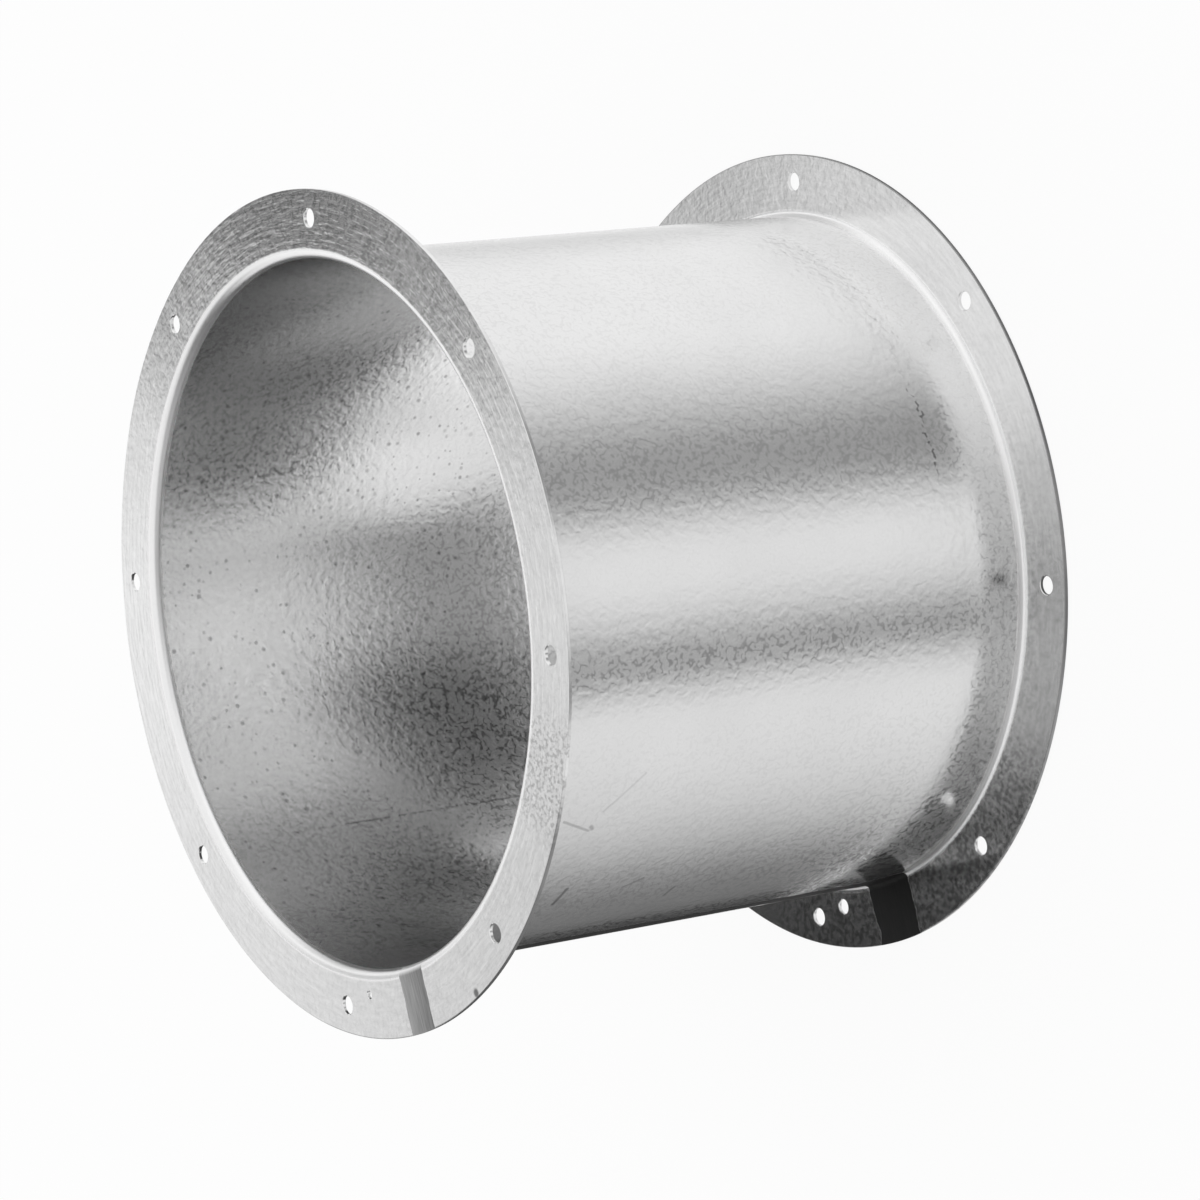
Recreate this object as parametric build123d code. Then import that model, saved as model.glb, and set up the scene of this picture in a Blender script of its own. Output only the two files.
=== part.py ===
from build123d import *
from build123d.topology import SkipClean
import math
import os

# Flanged duct extension pipe: one galvanised sheet, rolled to a tube, welded along its length
# and turned outward at both ends into flat flanges. The pipe stands on its lower flange:
# the axis is +Z and the origin is the centre of the lower flange's face.

# Driving dimensions, in millimetres
bore_d = 355.0              # inside of the tube
sheet_t = 2.0               # sheet thickness, the same in the tube and in the flanges
pipe_length = 300.0         # from flange face to flange face
flange_width = 32.5         # from the outside of the tube to the rim
bend_r = 3.0                # inside radius of the turned bend, on the outer side of the tube

# Bolt holes, the same in both flanges
bolt_count = 8
bolt_hole_d = 9.5
bolt_inset = 14.5           # from the rim to the bolt circle

# One small hole in each flange, beside the welded seam and inside the bolt circle
lower_pilot_d = 8.0
upper_pilot_d = 4.0
pilot_inset = 7.5           # from the bolt circle inward to the centre of the small hole
pilot_angle = 173.4         # degrees clockwise, seen from above, from the bolt hole on +Y

# Derived sizes
bore_r = bore_d / 2
tube_r = bore_r + sheet_t
rim_r = tube_r + flange_width
bolt_circle_r = rim_r - bolt_inset
pilot_circle_r = bolt_circle_r - pilot_inset
outer_bend_r = bend_r + sheet_t
quarter_turn = math.sqrt(0.5)


def sheet_section():
    """Section of the sheet in the XZ plane: the tube wall with a turned flange at each end."""
    wall_low = outer_bend_r
    wall_high = pipe_length - outer_bend_r
    web_low = sheet_t
    web_high = pipe_length - sheet_t
    flat_start = bore_r + outer_bend_r
    bore_mid = flat_start - outer_bend_r * quarter_turn
    tube_mid = flat_start - bend_r * quarter_turn
    outer_drop = outer_bend_r * (1 - quarter_turn)
    inner_drop = sheet_t + bend_r * (1 - quarter_turn)
    upper_bore_mid = (bore_mid, pipe_length - outer_drop)
    upper_tube_mid = (tube_mid, pipe_length - inner_drop)
    with BuildSketch(Plane.XZ) as section:
        with BuildLine():
            Line((flat_start, 0), (rim_r, 0))
            Line((rim_r, 0), (rim_r, web_low))
            Line((rim_r, web_low), (flat_start, web_low))
            ThreePointArc((flat_start, web_low), (tube_mid, inner_drop), (tube_r, wall_low))
            Line((tube_r, wall_low), (tube_r, wall_high))
            ThreePointArc((tube_r, wall_high), upper_tube_mid, (flat_start, web_high))
            Line((flat_start, web_high), (rim_r, web_high))
            Line((rim_r, web_high), (rim_r, pipe_length))
            Line((rim_r, pipe_length), (flat_start, pipe_length))
            ThreePointArc((flat_start, pipe_length), upper_bore_mid, (bore_r, wall_high))
            Line((bore_r, wall_high), (bore_r, wall_low))
            ThreePointArc((bore_r, wall_low), (bore_mid, outer_drop), (flat_start, 0))
        make_face()
    return section.sketch


def punched_holes(face_z, pilot_d):
    """Punches for one flange, whose lower face is at face_z: the bolt circle and the small hole."""
    overrun = sheet_t
    start = Plane.XY.offset(face_z - overrun)
    with BuildPart() as punches:
        with BuildSketch(start):
            with PolarLocations(bolt_circle_r, bolt_count, start_angle=90):
                Circle(bolt_hole_d / 2)
            with PolarLocations(pilot_circle_r, 1, start_angle=90 - pilot_angle):
                Circle(pilot_d / 2)
        extrude(amount=sheet_t + 2 * overrun)
    return punches.part


def duct_pipe():
    """The rolled and flanged sheet with its punched holes."""
    section = sheet_section()
    # Two half turns with their faces left apart: the bends then come out with fewer facets
    half_turn = 180
    with SkipClean():
        pipe = revolve(section, Axis.Z, half_turn)
        pipe += revolve(section, Axis.Z, -half_turn)
        pipe -= punched_holes(0, lower_pilot_d)
        pipe -= punched_holes(pipe_length - sheet_t, upper_pilot_d)
    return pipe


os.makedirs("parts", exist_ok=True)
pipe = duct_pipe()
print("duct_pipe volume, mm3:", round(pipe.volume))
export_step(pipe, "parts/duct_pipe.step")
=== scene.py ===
import bpy
import math
from mathutils import Matrix, Vector


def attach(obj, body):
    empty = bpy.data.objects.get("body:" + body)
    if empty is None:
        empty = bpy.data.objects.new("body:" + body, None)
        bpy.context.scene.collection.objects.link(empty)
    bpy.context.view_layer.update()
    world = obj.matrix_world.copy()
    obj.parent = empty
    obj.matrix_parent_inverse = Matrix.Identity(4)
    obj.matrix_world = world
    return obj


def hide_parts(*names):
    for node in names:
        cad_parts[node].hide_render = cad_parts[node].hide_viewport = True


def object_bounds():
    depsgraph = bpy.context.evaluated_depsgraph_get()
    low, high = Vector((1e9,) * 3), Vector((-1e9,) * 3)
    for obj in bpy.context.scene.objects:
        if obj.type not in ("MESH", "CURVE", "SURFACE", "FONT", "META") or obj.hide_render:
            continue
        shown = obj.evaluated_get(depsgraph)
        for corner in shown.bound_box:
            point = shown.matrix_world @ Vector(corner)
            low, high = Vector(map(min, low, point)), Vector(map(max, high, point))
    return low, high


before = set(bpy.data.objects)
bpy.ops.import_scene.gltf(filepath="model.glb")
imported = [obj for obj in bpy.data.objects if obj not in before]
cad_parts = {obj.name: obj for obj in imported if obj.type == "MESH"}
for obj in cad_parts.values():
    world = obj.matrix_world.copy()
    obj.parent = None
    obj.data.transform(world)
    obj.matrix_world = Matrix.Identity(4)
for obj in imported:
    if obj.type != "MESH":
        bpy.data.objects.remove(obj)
cadLow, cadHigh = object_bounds()
scene = bpy.context.scene
scene.view_settings.view_transform = "Standard"
print("frame loaded:", sorted(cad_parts))


# A wire is one output socket. Sums on wires add Math nodes to the tree they belong to.
class Wire:
    def __init__(self, bench, socket):
        self.bench = bench
        self.socket = socket

    def maths(self, operation, *others):
        return self.bench.node("ShaderNodeMath", {"operation": operation}, dict(enumerate((self,) + others)))

    def __add__(self, other):
        return self.maths("ADD", other)

    def __sub__(self, other):
        return self.maths("SUBTRACT", other)

    def __rsub__(self, other):
        return self.maths("MULTIPLY_ADD", -1.0, other)

    def __mul__(self, other):
        return self.maths("MULTIPLY", other)

    def __truediv__(self, other):
        return self.maths("DIVIDE", other)

    def __rtruediv__(self, other):
        return self.maths("POWER", -1.0) * other

    def __neg__(self):
        return self.maths("MULTIPLY", -1.0)

    __radd__ = __add__
    __rmul__ = __mul__

    def also(self, name):
        return Wire(self.bench, self.socket.node.outputs[name])


# A bench is a node tree being wired: its one method adds any node.
class Bench:
    def __init__(self, tree):
        self.tree = tree

    def node(self, kind, settings=None, sockets=None, out=0):
        made = self.tree.nodes.new(kind)
        for name, value in (settings or {}).items():
            if name == "stops":
                fillRamp(made.color_ramp, value)
            elif name == "items":
                while len(made.index_switch_items) < value:
                    made.index_switch_items.new()
            else:
                setattr(made, name, value)
        for key, value in (sockets or {}).items():
            for single in value if isinstance(value, list) else [value]:
                if isinstance(single, Wire):
                    self.tree.links.new(single.socket, made.inputs[key])
                else:
                    made.inputs[key].default_value = single
        return Wire(self, made.outputs[out]) if made.outputs else None


def fillRamp(ramp, stops):
    while len(ramp.elements) < len(stops):
        ramp.elements.new(0.5)
    for element, (place, level) in zip(ramp.elements, stops):
        element.position = place
        element.color = grey4(level)


def clearNodes(owner):
    owner.use_nodes = True
    owner.node_tree.nodes.clear()
    return Bench(owner.node_tree)


def ramp01(wire, low, high):
    return wire.bench.node("ShaderNodeMapRange", {"interpolation_type": "SMOOTHSTEP"},
                           {"Value": wire, "From Min": low, "From Max": high})


# 1 on a mark, 0 past its soft edge, which is given in shares of the mark's half width
def within(gap, half, soft):
    return 1.0 - ramp01(gap, half * soft[0], half * soft[1])


def vector(bench, x=0.0, y=0.0, z=0.0):
    return bench.node("ShaderNodeCombineXYZ", None, {"X": x, "Y": y, "Z": z})


def axes(place):
    xyz = place.bench.node("ShaderNodeSeparateXYZ", None, {0: place})
    return xyz, xyz.also("Y"), xyz.also("Z")


def lengthOf(x, y):
    return (x * x + y * y).maths("SQRT")


def noise(place, scale, detail, settings=None, **more):
    return place.bench.node("ShaderNodeTexNoise", settings,
                            {"Vector": place, "Scale": scale, "Detail": detail, **more})


def grey4(level):
    return (level, level, level, 1.0)


def greyOf(level):
    return vector(level.bench, level, level, level)


def blendColour(share, first, second):
    return share.bench.node("ShaderNodeMix", {"data_type": "RGBA"}, {0: share, 6: first, 7: second}, out=2)


# The photograph's view: the pipe stands on its far flange, so the camera is rolled on its side.
photoView = {
    "spot": (1.945, 0.313, 1.463),
    "imageRight": (0.5676, -0.0408, -0.8222),
    "imageUp": (-0.0890, 0.9898, -0.1106),
    "lens": 138.0,
    "sensor": 36.0,
}


def makeCamera():
    right = Vector(photoView["imageRight"]).normalized()
    back = right.cross(Vector(photoView["imageUp"])).normalized()
    up = back.cross(right)
    data = bpy.data.cameras.new("photoCamera")
    data.lens = photoView["lens"]
    data.sensor_width = photoView["sensor"]
    data.dof.use_dof = False
    camera = bpy.data.objects.new("photoCamera", data)
    turn = Matrix((right, up, back)).transposed().to_4x4()
    camera.matrix_world = Matrix.Translation(photoView["spot"]) @ turn
    scene.collection.objects.link(camera)
    scene.camera = camera
    print("camera placed, lens", data.lens)


# Sheet sizes in metres, kept a hair inside the solid's box: the inputs of the pipe's nodes
pipeSizes = {
    "Bore Radius": 0.1775,
    "Sheet": 0.002,
    "Length": cadHigh.z - cadLow.z,
    "Rim Radius": 0.2119,
    "Bend Radius": 0.003,
    "Edge Break": 0.0003,
    "Bolt Circle": 0.1975,
    "Bolt Count": 8,
    "Bolt Radius": 0.00475,
    "Pilot Circle": 0.19,
    "Pilot Angle": math.radians(90 - 173.4),
    "Lower Pilot Radius": 0.004,
    "Upper Pilot Radius": 0.002,
    "Flange Waviness": 0.0005,
    "Tube Waviness": 0.0002,
    "Turn Steps": 288,
    "Bend Steps": 14,
}
pipeDetails = {
    "punchFlare": 0.001,
    "punchSides": 48,
    "sliver": 0.00001,                  # points closer than this are merged
    "sharpEdge": math.radians(28),
    "leaf": (0.18, 0.212),              # radii over which a flange starts to lean
    "leanScale": 1.6,
    "leanSpan": (0.3, 0.75),
    "leanSeeds": (3.0, 7.0),            # for the lower flange, and what the upper one adds
    "tubeScale": 3.0,
    "tubeRise": 6.0,
}


def byIndex(bench, kind, values):
    sockets = {"Index": bench.node("GeometryNodeInputIndex")}
    sockets.update((str(i), value) for i, value in enumerate(values))
    return bench.node("GeometryNodeIndexSwitch", {"data_type": kind, "items": len(values)}, sockets)


def lineThrough(bench, places):
    points = bench.node("GeometryNodePoints", None,
                        {"Count": len(places), "Position": byIndex(bench, "VECTOR", places)})
    return bench.node("GeometryNodePointsToCurves", None, {"Points": points})


# Section of the sheet, corner by corner, rounded at its bends and sheared edges and turned round the axis
def turnedSheet(bench, size):
    bore, sheet, length, rim = (size(n) for n in ("Bore Radius", "Sheet", "Length", "Rim Radius"))
    bend, edgeBreak = size("Bend Radius"), size("Edge Break")
    tube = bore + sheet
    corners = [
        (bore, 0.0, bend + sheet), (rim, 0.0, edgeBreak), (rim, sheet, edgeBreak), (tube, sheet, bend),
        (tube, length - sheet, bend), (rim, length - sheet, edgeBreak), (rim, length, edgeBreak),
        (bore, length, bend + sheet),
    ]
    section = lineThrough(bench, [vector(bench, r - rim, -z) for r, z, rounding in corners])
    section = bench.node("GeometryNodeSetSplineCyclic", None, {"Geometry": section, "Cyclic": True})
    roundings = byIndex(bench, "FLOAT", [rounding for r, z, rounding in corners])
    section = bench.node("GeometryNodeFilletCurve", {"mode": "POLY"},
                         {"Curve": section, "Count": size("Bend Steps"), "Radius": roundings})
    turn = bench.node("GeometryNodeCurvePrimitiveCircle", None,
                      {"Resolution": size("Turn Steps"), "Radius": rim})
    return bench.node("GeometryNodeCurveToMesh", None, {"Curve": turn, "Profile Curve": section})


# A punch is one turned shape, flared past each face so that every hole has a broken edge
def punch(bench, size, radius):
    edgeBreak, flare, half = size("Edge Break"), pipeDetails["punchFlare"], size("Sheet") * 0.5
    wide = radius + edgeBreak + flare
    waist, mouth = half - edgeBreak, half + flare
    stem = lineThrough(bench, [vector(bench, z=level) for level in (-mouth, -waist, waist, mouth)])
    girth = byIndex(bench, "FLOAT", [wide, radius, radius, wide])
    unitRing = bench.node("GeometryNodeCurvePrimitiveCircle", None,
                          {"Resolution": pipeDetails["punchSides"], "Radius": 1.0})
    return bench.node("GeometryNodeCurveToMesh", None,
                      {"Curve": stem, "Profile Curve": unitRing, "Scale": girth, "Fill Caps": True})


# The punches of both flanges: a ring of bolt holes and the small hole beside the seam
def punches(bench, size):
    half, angle, circle = size("Sheet") * 0.5, size("Pilot Angle"), size("Pilot Circle")
    placed = []
    for level, pilot in ((half, "Lower Pilot Radius"), (size("Length") - half, "Upper Pilot Radius")):
        ring = bench.node("GeometryNodeMeshCircle", None,
                          {"Vertices": size("Bolt Count"), "Radius": size("Bolt Circle")})
        bolts = bench.node("GeometryNodeInstanceOnPoints", None,
                           {"Points": ring, "Instance": punch(bench, size, size("Bolt Radius"))})
        aside = vector(bench, angle.maths("COSINE") * circle, angle.maths("SINE") * circle, level)
        for tool, spot in ((bolts, vector(bench, z=level)), (punch(bench, size, size(pilot)), aside)):
            placed.append(bench.node("GeometryNodeTransform", None, {"Geometry": tool, "Translation": spot}))
    joined = bench.node("GeometryNodeJoinGeometry", None, {"Geometry": placed})
    return bench.node("GeometryNodeRealizeInstances", None, {"Geometry": joined})


# Flat only by eye: each flange leans a little towards the tube, and the wall is not quite round
def settled(bench, size, pipe):
    x, y, z = axes(bench.node("GeometryNodeInputPosition"))
    out = lengthOf(x, y)
    unitX, unitY = x / out, y / out
    unit = vector(bench, unitX, unitY)
    leaf = ramp01(out, *pipeDetails["leaf"])
    upper = z.maths("GREATER_THAN", size("Length") * 0.5)
    seed, upperSeed = pipeDetails["leanSeeds"]
    with4D = {"noise_dimensions": "4D"}
    swell = noise(unit, pipeDetails["leanScale"], 1.0, with4D, W=upper * upperSeed + seed)
    towards = 1.0 - 2.0 * upper
    lean = leaf * ramp01(swell, *pipeDetails["leanSpan"]) * size("Flange Waviness") * towards
    roll = noise(unit, pipeDetails["tubeScale"], 1.0, with4D, W=z * pipeDetails["tubeRise"])
    pinch = (roll - 0.5) * size("Tube Waviness") * (1.0 - leaf)
    shift = vector(bench, unitX * pinch, unitY * pinch, lean)
    return bench.node("GeometryNodeSetPosition", None, {"Geometry": pipe, "Offset": shift})


def pipeTree(material):
    tree = bpy.data.node_groups.new("flangedPipe", "GeometryNodeTree")
    bench = Bench(tree)
    tree.interface.new_socket("Pipe", in_out="OUTPUT", socket_type="NodeSocketGeometry")
    for name, value in pipeSizes.items():
        kind = "NodeSocketInt" if isinstance(value, int) else "NodeSocketFloat"
        tree.interface.new_socket(name, in_out="INPUT", socket_type=kind)
    size = bench.node("NodeGroupInput").also
    pipe = bench.node("GeometryNodeMeshBoolean", {"operation": "DIFFERENCE", "solver": "EXACT"},
                      {"Mesh 1": turnedSheet(bench, size), "Mesh 2": punches(bench, size)})
    pipe = bench.node("GeometryNodeMergeByDistance", None,
                      {"Geometry": pipe, "Distance": pipeDetails["sliver"]})
    pipe = settled(bench, size, pipe)

    # Smooth bends, crisp sheared edges
    pipe = bench.node("GeometryNodeSetShadeSmooth", {"domain": "FACE"}, {0: pipe, "Shade Smooth": True})
    steep = bench.node("GeometryNodeInputMeshEdgeAngle").maths("GREATER_THAN", pipeDetails["sharpEdge"])
    pipe = bench.node("GeometryNodeSetShadeSmooth", {"domain": "EDGE"},
                      {0: pipe, "Selection": steep, "Shade Smooth": False})
    pipe = bench.node("GeometryNodeRealizeInstances", None, {"Geometry": pipe})
    pipe = bench.node("GeometryNodeSetMaterial", None, {"Geometry": pipe, "Material": material})
    bench.node("NodeGroupOutput", None, {"Pipe": pipe})
    return tree


def makePipe(material):
    mesh = bpy.data.meshes.new("ductPipeSkin")
    pipe = bpy.data.objects.new("ductPipeSkin", mesh)
    scene.collection.objects.link(pipe)
    grow = pipe.modifiers.new("flangedPipe", "NODES")
    grow.node_group = pipeTree(material)
    for item in grow.node_group.interface.items_tree:
        if item.in_out == "INPUT":
            grow[item.identifier] = pipeSizes[item.name]
    level = pipe.modifiers.new("evenNormals", "WEIGHTED_NORMAL")
    level.keep_sharp = True
    depsgraph = bpy.context.evaluated_depsgraph_get()
    done = bpy.data.meshes.new_from_object(pipe.evaluated_get(depsgraph), depsgraph=depsgraph)
    pipe.modifiers.clear()
    pipe.data = done
    done.name = "ductPipeSkin"
    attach(pipe, "root")
    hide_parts("duct_pipe")
    print("pipe made:", len(done.polygons), "faces, box", [round(v, 4) for v in pipe.dimensions])


# Galvanised finish, lengths in metres, angles in degrees clockwise from +Y seen from above.
# The zones are told apart by "flangeStart", past the tube, "outerStart", past the bore, and "bendHeight".
zincLook = {
    "flangeStart": (0.001, 0.004),
    "outerStart": (0.0006, 0.0014),
    "bendHeight": (0.0045, 0.0060),
    # The bends' higher tone is in part painted highlight, lightening the lip at the bore
    "tone": {"outside": 0.87, "inside": 0.75, "flange": 0.87, "bend": 0.96},
    "cloudScale": 24.0,
    "cloudSwing": 0.09,
    "frost": {"outside": 0.24, "inside": 0.23, "flange": 0.17, "bend": 0.34},
    "bright": {"outside": 0.10, "inside": 0.16, "flange": 0.12, "bend": 0.28},
    "dashSize": 0.0042,
    "dashBend": 0.3,
    "dashWidth": (0.015, 0.095),
    "dashBreaks": (0.36, 0.54),
    "dashTone": 0.92,
    "dashing": {"outside": 1.0, "inside": 1.0, "flange": 0.5, "bend": 0.2},
    "grain": 0.0026,
    "ripple": {"outside": 0.00014, "inside": 0.00014, "flange": 0.00006, "bend": 0.00003},
    "streak": (15.0, 430.0, 30.0),      # per radian round the axis, per metre outward and upward
    "streakDepth": (0.00004, 0.00009),  # on the lower and the upper flange
    "streakSwing": 0.22,
    "pitCell": 0.0045,
    "pitRadius": 0.0009,
    "pitLeast": 0.4,
    "pitFaint": 0.3,
    "pitShare": 0.7,
    "pitTone": 0.5,
    "softEdge": (0.4, 1.6),
}
seamPaint = {                           # values in threes: lower flange, tube and upper flange
    "angle": 160.2,
    "halfWidth": (0.0175, 0.0095, 0.011),
    # the lower flange's and the tube's tones are the paint darkened by painted shade
    "tone": (0.012, 0.035, 0.27),
    "lowHeights": (0.004, 0.03),
    "highHeights": (0.28, 0.296),
    "toneHeights": (0.288, 0.294),
    "edge": 0.0002,
    "wanderScale": 90.0,
    "wander": (0.007, 0.0025),
    "brush": (900.0, 70.0),
    "brushSwing": 0.9,
    "sideSwing": 0.28,
    "lip": (0.0018, 0.0048),
    "lipHeights": (0.2965, 0.2985),
    "roughness": 0.62,
    "gloss": 0.2,
}
toolMark = {
    "height": 0.047,
    "halfWidth": 0.0007,
    "soft": (0.5, 1.4),
    "wobble": 0.008,
    "angles": (18.4, 58.0, 72.4),       # where it starts, grows strong and ends
    "fades": (0.02, 0.01),
    "faint": 0.15,
    "dots": (0.46, 0.58),
    "tone": 0.42,
}
scratches = [
    {"from": (119.3, 0.269), "to": (121.9, 0.2526), "halfWidth": 0.0007, "tone": 0.70},
    {"from": (121.2, 0.2516), "to": (121.6, 0.2506), "halfWidth": 0.0011, "tone": 0.65},
    {"from": (118.4, 0.2467), "to": (112.5, 0.227), "halfWidth": 0.0007, "tone": 0.86},
    {"from": (139.2, 0.2513), "to": (135.3, 0.2488), "halfWidth": 0.0010, "tone": 0.5},
    {"from": (137.7, 0.2121), "to": (136.0, 0.2027), "halfWidth": 0.0009, "tone": 0.75},
    {"from": (143.1, 0.1787), "to": (140.8, 0.1765), "halfWidth": 0.0009, "tone": 0.7},
]
innerLine = {
    "angle": -137.7,
    "halfWidth": 0.0006,
    "soft": (0.5, 1.5),
    "heights": (0.105, 0.262),
    "fades": (0.02, 0.04),
    "dots": (0.36, 0.52),
    "tone": 0.64,
}
flangeMarks = [
    {"angle": 153.0, "spread": (44.0, 28.0), "heights": (0.024, 0.012), "size": 0.0030,
     "share": (0.40, 0.66), "tone": 0.5},
    {"angle": 107.0, "spread": (11.0, 3.0), "heights": (0.297, 0.299), "size": 0.0024,
     "share": (0.44, 0.66), "tone": 0.64},
]
# Painted shade inside, where the tone is below 1, and painted light, where it is above 1
paintedLightAndShadePatches = [
    {"angle": 335.0, "spread": (36.0, 12.0), "heights": (0.10, 0.19), "tone": 0.64},
    {"angle": 205.0, "spread": (50.0, 22.0), "heights": (0.18, 0.24), "tone": 1.22},
    {"angle": 214.0, "spread": (27.0, 10.0), "heights": (0.20, 0.16), "tone": 0.66},
    {"angle": 283.0, "spread": (11.0, 4.0), "heights": (0.09, 0.15), "tone": 1.13},
]
# Bare cut steel, and on the upper rim painted shade as well
cutEdgeAndShade = {
    "depth": (0.0006, 0.0003),
    "angle": 150.0,
    "spread": (46.0, 34.0),
    "tone": 0.42,
    "roughness": 0.34,
}
rimChip = {
    "angle": 144.9,
    "inset": 0.0022,
    "size": 0.0030,
    "soft": (0.4, 1.0),
    "heights": (0.296, 0.298),
    "tone": 0.25,
}


# Where a point lies on the sheet: its place, its zone and how far it is from a mark
class Spot:
    def __init__(self, bench):
        self.bench = bench
        self.place = bench.node("ShaderNodeTexCoord").also("Object")
        self.x, self.y, self.z = axes(self.place)
        self.out = lengthOf(self.x, self.y)
        self.around = self.x.maths("ARCTAN2", self.y)
        self.upper = self.z.maths("GREATER_THAN", pipeSizes["Length"] / 2)
        bore = pipeSizes["Bore Radius"]
        tube = bore + pipeSizes["Sheet"]
        onFlange = ramp01(self.out, *(tube + v for v in zincLook["flangeStart"]))
        outer = ramp01(self.out, *(bore + v for v in zincLook["outerStart"]))
        fromEnd = self.z.maths("MINIMUM", pipeSizes["Length"] - self.z)
        onBend = (1.0 - ramp01(fromEnd, *zincLook["bendHeight"])) * (1.0 - onFlange)
        self.zones = {
            "outside": outer * (1.0 - onFlange) * (1.0 - onBend),
            "inside": (1.0 - outer) * (1.0 - onBend),
            "flange": onFlange,
            "bend": onBend,
        }

    def arcAt(self, degrees):
        return (self.around - math.radians(degrees)) * self.out

    def facing(self, mark):
        middle = math.radians(mark["angle"])
        none, full = (math.cos(math.radians(v)) for v in mark["spread"])
        return ramp01((self.x * math.sin(middle) + self.y * math.cos(middle)) / self.out, none, full)

    def perZone(self, levels):
        return sum(zone * levels[name] for name, zone in self.zones.items())


# Flanges are drawn out round the axis by the flanging tool
def streakNoise(spot):
    perTurn, perOut, perRise = zincLook["streak"]
    drawn = vector(spot.bench, spot.around * perTurn, spot.out * perOut, spot.z * perRise)
    return noise(drawn, 1.0, 2.0)


# Small dark pits, scattered over the inside
def pitMask(spot):
    cell, faint = zincLook["pitCell"], zincLook["pitFaint"]
    pit = spot.bench.node("ShaderNodeTexVoronoi", {"feature": "F1"},
                          {"Vector": spot.place, "Scale": 1 / cell, "Randomness": 1.0})
    draw = spot.bench.node("ShaderNodeSeparateColor", None, {0: pit.also("Color")})
    chosen = draw.maths("LESS_THAN", zincLook["pitShare"])
    span = (draw.also("Green") + zincLook["pitLeast"]) * (zincLook["pitRadius"] / cell)
    depth = draw.also("Blue") * (1.0 - faint) + faint
    return within(pit / span, 1.0, zincLook["softEdge"]) * depth * chosen * spot.zones["inside"]


# A dotted ring left by the flanging tool near the lower flange
def toolMask(spot, ripple, dots):
    wobble = (ripple - 0.5) * toolMark["wobble"]
    gap = (spot.z - toolMark["height"] + wobble).maths("ABSOLUTE")
    start, strong, end = (spot.arcAt(v) for v in toolMark["angles"])
    fadeIn, fadeOut = toolMark["fades"]
    faint = toolMark["faint"]
    stretch = ramp01(start, 0.0, fadeIn) * (1.0 - ramp01(end, -fadeOut, 0.0))
    stretch = stretch * (faint + ramp01(strong, -fadeOut, 0.0) * (1.0 - faint))
    ring = within(gap, toolMark["halfWidth"], toolMark["soft"])
    return ring * stretch * ramp01(dots, *toolMark["dots"]) * spot.zones["outside"]


# A short straight mark on the tube between two places, each an angle and a height
def scratchMask(spot, mark):
    (angleA, zA), (angleB, zB) = mark["from"], mark["to"]
    run = math.radians(angleB - angleA) * (pipeSizes["Bore Radius"] + pipeSizes["Sheet"])
    rise = zB - zA
    reach = math.hypot(run, rise)
    across, along = spot.arcAt(angleA), spot.z - zA
    share = across * (run / reach ** 2) + along * (rise / reach ** 2)
    share = share.maths("MAXIMUM", 0.0).maths("MINIMUM", 1.0)
    gap = lengthOf(across - share * run, along - share * rise)
    return within(gap, mark["halfWidth"], zincLook["softEdge"]) * spot.zones["outside"]


# A faint broken line along the bore
def innerMask(spot, dots):
    start, end = innerLine["heights"]
    fadeIn, fadeOut = innerLine["fades"]
    along = ramp01(spot.z, start, start + fadeIn) * (1.0 - ramp01(spot.z, end - fadeOut, end))
    gap = spot.arcAt(innerLine["angle"]).maths("ABSOLUTE")
    line = within(gap, innerLine["halfWidth"], innerLine["soft"])
    return line * along * ramp01(dots, *innerLine["dots"]) * spot.zones["inside"]


# A broad patch inside that darkens the coat as painted shade, or lightens it as painted light
def patchMask(spot, patch):
    return spot.facing(patch) * ramp01(spot.z, *patch["heights"]) * spot.zones["inside"]


# Darker blotches on the lower flange, to both sides of the seam, or the scuffs on the upper one
def stainMask(spot, stain):
    blotch = noise(spot.place, 1 / stain["size"], 3.0)
    area = spot.facing(stain) * ramp01(spot.z, *stain["heights"]) * spot.zones["flange"]
    return ramp01(blotch, *stain["share"]) * area


# A chip on the upper rim
def chipMask(spot):
    inward = pipeSizes["Rim Radius"] - rimChip["inset"] - spot.out
    gap = lengthOf(spot.arcAt(rimChip["angle"]), inward)
    return within(gap, rimChip["size"], rimChip["soft"]) * ramp01(spot.z, *rimChip["heights"])


# Bare steel where the rims were cut, all round the lower one; on the upper one only round 150 degrees, where
# the darkening is painted shade
def cutMask(spot):
    start, end = (pipeSizes["Rim Radius"] - v for v in cutEdgeAndShade["depth"])
    return ramp01(spot.out, start, end) * spot.facing(cutEdgeAndShade).maths("MAXIMUM", 1.0 - spot.upper)


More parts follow.
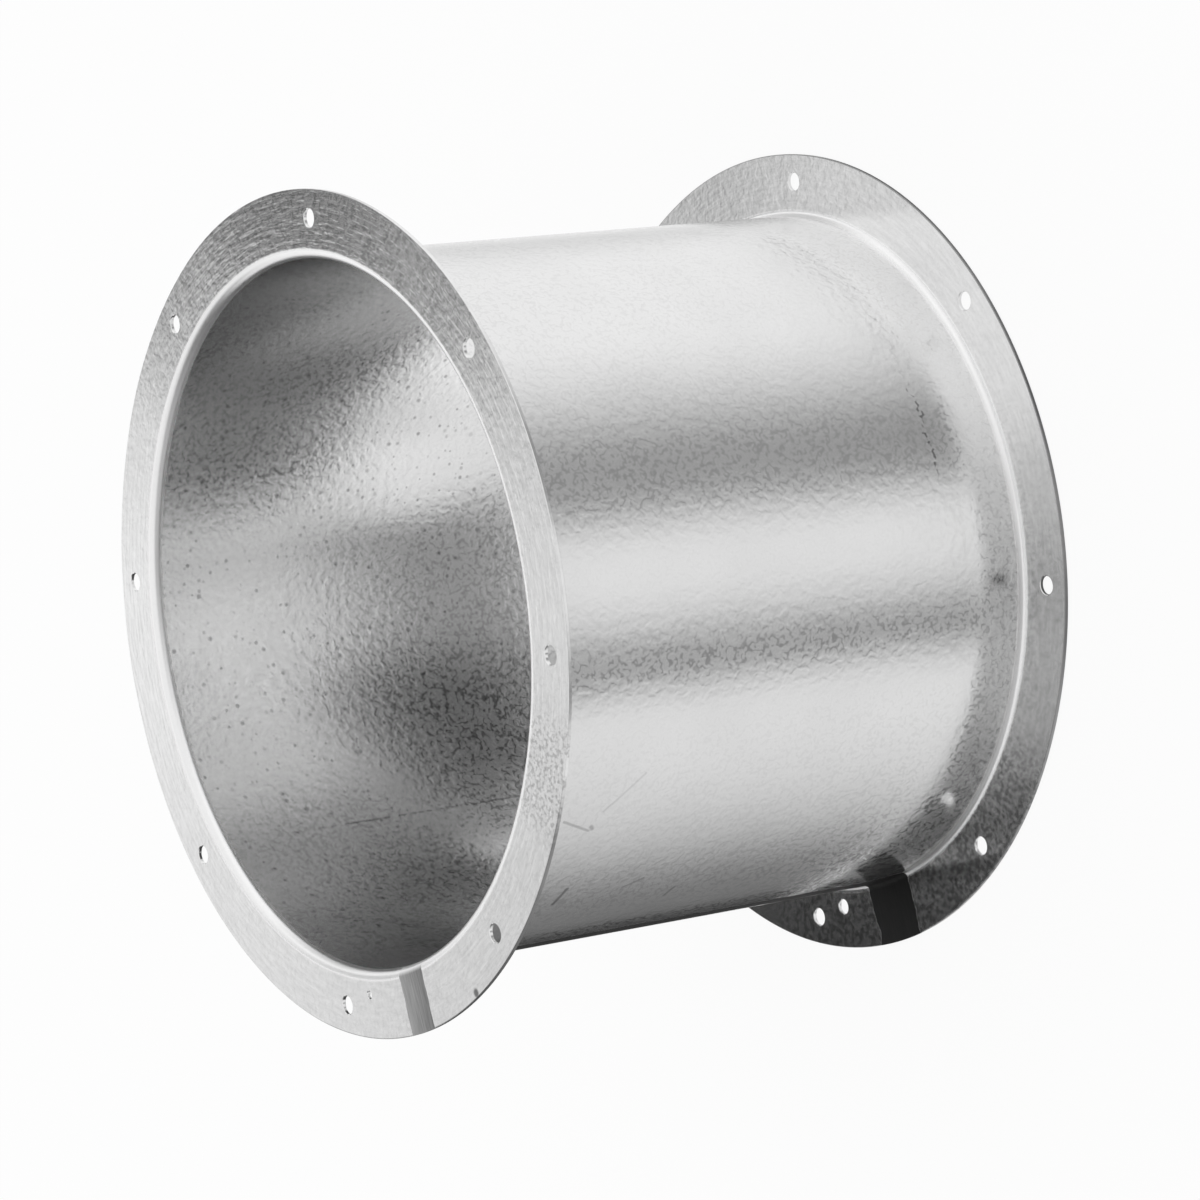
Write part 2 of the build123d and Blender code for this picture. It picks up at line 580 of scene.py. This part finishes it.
# Paint over the weld: a ragged brushed band along the seam, wide on the lower flange; on the lower flange
# and the tube its tone is darkened by painted shade
def seamCoat(spot):
    arc, out, z = spot.arcAt(seamPaint["angle"]), spot.out, spot.z
    low, mid, high = seamPaint["halfWidth"]
    onLow = 1.0 - ramp01(z, *seamPaint["lowHeights"])
    onHigh = ramp01(z, *seamPaint["highHeights"])
    half = mid + onLow * (low - mid) + onHigh * (high - mid)
    wander = noise(spot.place, seamPaint["wanderScale"], 4.0)
    lowWander, highWander = seamPaint["wander"]
    ragged = half + (wander - 0.5) * (lowWander + onHigh * (highWander - lowWander))
    mask = ramp01(ragged - arc.maths("ABSOLUTE"), -seamPaint["edge"], seamPaint["edge"])
    lipStart, lipEnd = (pipeSizes["Bore Radius"] + v for v in seamPaint["lip"])
    onLip = ramp01(z, *seamPaint["lipHeights"]) * (1.0 - ramp01(out, lipStart, lipEnd))
    acrossBrush, alongBrush = seamPaint["brush"]
    strokes = vector(spot.bench, arc * acrossBrush, out * alongBrush, z * alongBrush)
    brushed = noise(strokes, 1.0, 2.0)
    # the lower flange's and the tube's tones are the paint with painted shade
    lowPaintedShadeTone, midPaintedShadeTone, highTone = seamPaint["tone"]
    onTop = ramp01(z, *seamPaint["toneHeights"])
    tone = midPaintedShadeTone + onLow * (lowPaintedShadeTone - midPaintedShadeTone) + onTop * (highTone - midPaintedShadeTone)
    swing = (brushed - 0.5) * seamPaint["brushSwing"] + arc / half * seamPaint["sideSwing"]
    return mask * (1.0 - onLip), tone * (1.0 + swing)


def galvanised():
    material = bpy.data.materials.new("galvanisedSheet")
    bench = clearNodes(material)
    spot = Spot(bench)
    onFlange = spot.zones["flange"]

    # Zinc coat: a frosted ground with smooth curved dashes, broad clouds and streaked flanges
    ripple = noise(spot.place, 1 / zincLook["dashSize"], 1.0, Distortion=zincLook["dashBend"])
    dots = noise(spot.place, 1 / zincLook["grain"], 0.0)
    dash = 1.0 - ramp01((ripple - 0.5).maths("ABSOLUTE"), *zincLook["dashWidth"])
    dash = dash * ramp01(dots, *zincLook["dashBreaks"]) * spot.perZone(zincLook["dashing"])
    clouds = noise(spot.place, zincLook["cloudScale"], 3.0)
    streak = streakNoise(spot)
    lowDepth, highDepth = zincLook["streakDepth"]
    depth = lowDepth + spot.upper * (highDepth - lowDepth)
    height = ripple * spot.perZone(zincLook["ripple"]) + streak * onFlange * depth
    tone = spot.perZone(zincLook["tone"]) + (clouds - 0.5) * zincLook["cloudSwing"]
    tone = tone + (streak - 0.5) * onFlange * zincLook["streakSwing"]

    # Marks, each a mask with the share of the coat's tone that it leaves; the inside patches are painted
    # shade and painted light
    cutAndShade = cutMask(spot)
    marks = [
        (dash, zincLook["dashTone"]),
        (pitMask(spot), zincLook["pitTone"]),
        (toolMask(spot, ripple, dots), toolMark["tone"]),
        (innerMask(spot, dots), innerLine["tone"]),
        (chipMask(spot), rimChip["tone"]),
        (cutAndShade, cutEdgeAndShade["tone"]),
    ]
    for masked, places in ((scratchMask, scratches), (patchMask, paintedLightAndShadePatches), (stainMask, flangeMarks)):
        marks += [(masked(spot, place), place["tone"]) for place in places]
    for mask, level in marks:
        tone = tone * (1.0 - mask * (1.0 - level))

    painted, paintAndShadeTone = seamCoat(spot)
    colour = blendColour(painted, greyOf(tone), greyOf(paintAndShadeTone))
    frost = spot.perZone(zincLook["frost"])
    bare = frost + dash * (spot.perZone(zincLook["bright"]) - frost)
    bare = bare + cutAndShade * (cutEdgeAndShade["roughness"] - bare)
    rough = bare + painted * (seamPaint["roughness"] - bare)
    bump = bench.node("ShaderNodeBump", None, {"Strength": 1.0, "Distance": 1.0, "Height": height})
    shader = bench.node("ShaderNodeBsdfPrincipled", None, {
        "Base Color": colour, "Metallic": 1.0 - painted, "Roughness": rough, "Normal": bump,
        "Specular IOR Level": seamPaint["gloss"]})
    bench.node("ShaderNodeOutputMaterial", None, {"Surface": shader})
    print("finish made:", material.name)
    return material


# Studio: white to the eye, and round the pipe in bands of bright and dark for the metal to show.
# A band is an azimuth in degrees, clockwise from +Y seen from above, with the level there.
# A patch lies over the high bands, between two azimuths and two sines of the elevation, with soft sides.
studioSky = {
    "plainLight": 0.9,
    "lowBands": [
        (-180, 0.50), (-168, 0.31), (-156, 0.20), (-138, 0.18), (-131, 0.12), (-127, 0.04), (-116, 0.04),
        (-111, 0.80), (-104, 0.97), (-90, 1.0), (-80, 0.88), (-71, 0.72), (-62, 0.80), (-48, 0.95),
        (2, 0.94), (16, 0.80), (28, 0.58), (40, 0.33), (50, 0.30), (58, 0.37), (64, 0.68), (72, 0.88),
        (86, 0.86), (96, 0.70), (104, 0.42), (109, 0.26), (113, 0.31), (118, 0.68), (126, 0.86),
        (146, 0.80), (164, 0.68),
    ],
    "highBands": [
        (-180, 0.18), (-170, 0.10), (-146, 0.06), (-134, 0.50), (-128, 1.0), (-117, 1.0), (-111, 0.76),
        (-103, 0.76), (-99, 0.96), (-95, 0.72), (-86, 0.74), (-70, 1.0), (20, 1.0), (54, 0.90),
        (77, 0.66), (101, 0.38), (124, 0.50), (151, 0.43), (176, 0.25),
    ],
    "changeOver": (-0.46, -0.20),       # from low to high bands, as sines of the elevation
    "zenith": 0.87,
    "zenithRise": (0.66, 0.72),
    "fallStart": (0.38, 0.45),
    "fallRise": (0.46, 0.56),           # over the upper flange: brighter low down, darker high up
    "fallLevels": (1.12, 0.76),
    "leanSine": 0.51,                   # the height about which a patch's first side leans
    "patches": [
        {"turn": (-150, -82), "soft": (3, 3), "sines": (-0.26, 0.40), "softSines": (0.05, 0.03),
         "lean": 0, "level": 1.0},
        {"turn": (-62, -36), "soft": (4, 4), "sines": (-0.20, 0.50), "softSines": (0.05, 0.03),
         "lean": 0, "level": 0.55},
        {"turn": (-95.2, -74), "soft": (0.9, 4), "sines": (0.375, 0.565), "softSines": (0.025, 0.015),
         "lean": 28, "level": 0.06},
        {"turn": (-112, -70), "soft": (4, 4), "sines": (0.61, 0.74), "softSines": (0.02, 0.02),
         "lean": 0, "level": 0.90},
        {"turn": (-70, 44), "soft": (4, 14), "sines": (0.44, 0.74), "softSines": (0.04, 0.02),
         "lean": 0, "level": 0.98},
    ],
}


def bandLevel(turn, bands):
    stops = [(degrees / 360 + 0.5, level) for degrees, level in bands]
    stops.append((1.0, bands[0][1]))
    return turn.bench.node("ShaderNodeValToRGB", {"stops": stops}, {0: turn})


# 1 between two edges, each with its own soft width and the wire that it is read from
def between(wires, edges, widths):
    rising = ramp01(wires[0], edges[0] - widths[0], edges[0] + widths[0])
    return rising * (1.0 - ramp01(wires[1], edges[1] - widths[1], edges[1] + widths[1]))


def makeWorld():
    world = bpy.data.worlds.new("studio")
    scene.world = world
    bench = clearNodes(world)
    x, y, rise = axes(bench.node("ShaderNodeTexCoord").also("Generated"))
    turn = x.maths("ARCTAN2", y) / (2 * math.pi) + 0.5
    degrees = (turn - 0.5) * 360.0
    low = bandLevel(turn, studioSky["lowBands"])
    high = bandLevel(turn, studioSky["highBands"])
    bright, dim = studioSky["fallLevels"]
    fall = 1.0 + ramp01(rise, *studioSky["fallStart"]) * (bright - 1.0)
    fall = fall + ramp01(rise, *studioSky["fallRise"]) * (dim - bright)
    high = greyOf(high * fall)
    for patch in studioSky["patches"]:
        leaning = degrees + (rise - studioSky["leanSine"]) * patch["lean"]
        mask = between((leaning, degrees), patch["turn"], patch["soft"])
        mask = mask * between((rise, rise), patch["sines"], patch["softSines"])
        high = blendColour(mask, high, grey4(patch["level"]))
    high = blendColour(ramp01(rise, *studioSky["zenithRise"]), high, grey4(studioSky["zenith"]))
    ring = blendColour(ramp01(rise, *studioSky["changeOver"]), low, high)
    path = bench.node("ShaderNodeLightPath")
    white = path.maths("MAXIMUM", path.also("Is Transmission Ray"))
    seen = blendColour(white, ring, grey4(1.0))
    shown = white.maths("MAXIMUM", path.also("Is Glossy Ray"))
    sky = blendColour(shown, grey4(studioSky["plainLight"]), seen)
    glow = bench.node("ShaderNodeBackground", None, {"Color": sky, "Strength": 1.0})
    bench.node("ShaderNodeOutputWorld", None, {"Surface": glow})
    print("world made")


def stageSheet(name, corners):
    mesh = bpy.data.meshes.new(name)
    mesh.from_pydata(corners, [], [(0, 1, 2, 3)])
    sheet = bpy.data.objects.new(name, mesh)
    scene.collection.objects.link(sheet)
    finish = bpy.data.materials.new(name)
    mesh.materials.append(finish)
    return sheet, clearNodes(finish)


def flatSquare(reach, drop):
    z = cadLow.z - drop
    return [(-reach, -reach, z), (reach, -reach, z), (reach, reach, z), (-reach, reach, z)]


# A card for the metal to mirror, which nothing else sees
def mirrorCard(name, corners):
    card, bench = stageSheet(name, corners)
    for ray in ("camera", "diffuse", "transmission", "volume_scatter", "shadow"):
        setattr(card, "visible_" + ray, False)
    return bench


def lamp(bench, colour):
    return bench.node("ShaderNodeEmission", None, {"Color": colour, "Strength": 1.0})


# Light where the mask is 1, and clear where it is 0
def maskedLamp(bench, mask, level):
    clear = bench.node("ShaderNodeBsdfTransparent")
    mixed = bench.node("ShaderNodeMixShader", None, {0: mask, 1: clear, 2: lamp(bench, greyOf(level))})
    bench.node("ShaderNodeOutputMaterial", None, {"Surface": mixed})


paleFloor = {"reach": 12.0, "drop": 0.0002, "tone": 0.93, "glow": 0.90}


def makeFloor():
    floor, bench = stageSheet("paleFloor", flatSquare(paleFloor["reach"], paleFloor["drop"]))
    floor.visible_glossy = False
    matt = bench.node("ShaderNodeBsdfDiffuse", None, {"Color": grey4(paleFloor["tone"])})
    toEye = bench.node("ShaderNodeLightPath") * paleFloor["glow"]
    mixed = bench.node("ShaderNodeMixShader", None, {0: toEye, 1: matt, 2: lamp(bench, grey4(1.0))})
    bench.node("ShaderNodeOutputMaterial", None, {"Surface": mixed})
    print("floor made")


# What the inside of the pipe mirrors past its lower end: a lit patch with a shaded corner
litPatch = {
    "drop": 0.15,
    "reach": 0.385,
    "fade": 0.02,
    "level": 0.98,
    "glow": {"x": (0.06, -0.12), "y": (0.14, 0.02), "more": 0.45},
    "cornerLean": (0.70, 0.60),
    "cornerEdge": (0.08, 0.14),
    "cornerFront": (-0.19, -0.12),
    "strips": [
        {"x": (0.105, 0.15), "y": (-0.165, -0.125)},
        {"x": (-0.20, -0.15), "y": (0.25, 0.285)},
    ],
    "darkLevels": (0.27, 0.04),         # at the front and at the back
    "darkFrom": (0.08, 0.20),
}


def makeLitPatch():
    bench = mirrorCard("litPatch", flatSquare(litPatch["reach"], litPatch["drop"]))
    x, y, z = axes(bench.node("ShaderNodeTexCoord").also("Object"))
    glow = litPatch["glow"]
    lit = litPatch["level"] + ramp01(x, *glow["x"]) * ramp01(y, *glow["y"]) * glow["more"]
    leanX, leanY = litPatch["cornerLean"]
    dark = ramp01(x * leanX + y * leanY, *litPatch["cornerEdge"]) * ramp01(y, *litPatch["cornerFront"])
    for strip in litPatch["strips"]:
        dark = dark.maths("MAXIMUM", ramp01(x, *strip["x"]) * ramp01(y, *strip["y"]))
    front, back = litPatch["darkLevels"]
    dim = front + ramp01(y, *litPatch["darkFrom"]) * (back - front)
    reached = 1.0 - ramp01(lengthOf(x, y), litPatch["reach"] - litPatch["fade"], litPatch["reach"])
    maskedLamp(bench, reached, lit + dark * (dim - lit))
    print("lit patch made")


# The shaded strip under the tube, between the flanges, as the lower flange mirrors it
shadeCard = {"x": (-0.42, 0.012), "y": -0.226, "z": (0.012, 0.285), "level": 0.05}


def makeShade():
    (x0, x1), y, (z0, z1) = shadeCard["x"], shadeCard["y"], shadeCard["z"]
    bench = mirrorCard("shadeCard", [(x0, y, z0), (x1, y, z0), (x1, y, z1), (x0, y, z1)])
    dark = lamp(bench, grey4(shadeCard["level"]))
    bench.node("ShaderNodeOutputMaterial", None, {"Surface": dark})
    print("shade card made")


# Light behind the lower flange's holes, for the tube to mirror
holeGlow = {
    "drop": 0.0003,
    "from": (0.186, 0.188),
    "to": (0.206, 0.208),
    "level": 0.80,
    "shade": {"x": (0.165, 0.18), "level": 0.10},
}


def makeHoleGlow():
    bench = mirrorCard("holeGlow", flatSquare(pipeSizes["Rim Radius"], holeGlow["drop"]))
    x, y, z = axes(bench.node("ShaderNodeTexCoord").also("Object"))
    out = lengthOf(x, y)
    ring = ramp01(out, *holeGlow["from"]) * (1.0 - ramp01(out, *holeGlow["to"]))
    shade = holeGlow["shade"]
    level = holeGlow["level"] + ramp01(x, *shade["x"]) * (shade["level"] - holeGlow["level"])
    maskedLamp(bench, ring, level)
    print("hole glow made")


makeCamera()
makePipe(galvanised())
makeWorld()
makeFloor()
makeLitPatch()
makeShade()
makeHoleGlow()
